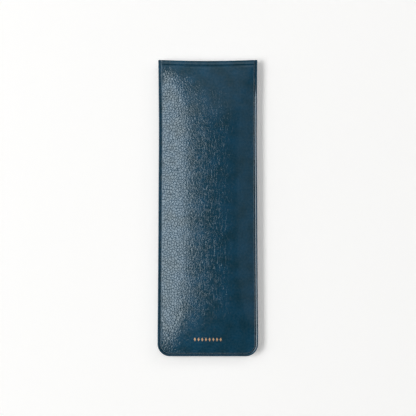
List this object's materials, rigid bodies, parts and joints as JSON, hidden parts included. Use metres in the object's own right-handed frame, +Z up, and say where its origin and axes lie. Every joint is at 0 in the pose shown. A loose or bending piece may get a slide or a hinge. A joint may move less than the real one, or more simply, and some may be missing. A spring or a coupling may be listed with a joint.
{
  "type": "pen case",
  "caption": "Slim padded pen case of glossy teal-navy leathercloth, welded along the sides and foot, with a spring lip mouth.",
  "frame": {"origin": "centre of the case's outline, on the plane that its back rests on", "axes": "+X to the right across the case, +Y from the foot toward the mouth, +Z up from the table, out of the front panel"},
  "size_m": [0.0604, 0.178, 0.0119],
  "materials": {
    "leathercloth": "gloss",
    "foam": "matte",
    "lining_film": "satin",
    "spring_steel": "satin"
  },
  "bodies": {
    "back_half": {"back_cover": "leathercloth", "back_padding": "foam", "back_lining": "lining_film", "back_spring_strip": "spring_steel"},
    "front_half": {"front_cover": "leathercloth", "front_padding": "foam", "front_lining": "lining_film", "front_spring_strip": "spring_steel"}
  },
  "joints": [
    {"name": "front_opens", "type": "hinge", "parent": "back_half", "child": "front_half", "pos_m": [0, -0.088, 0.0048], "axis": [1, 0, 0], "range_deg": [0, 6], "stiffness_Nm_per_rad": 1.5, "springref_deg": -0.57}
  ]
}
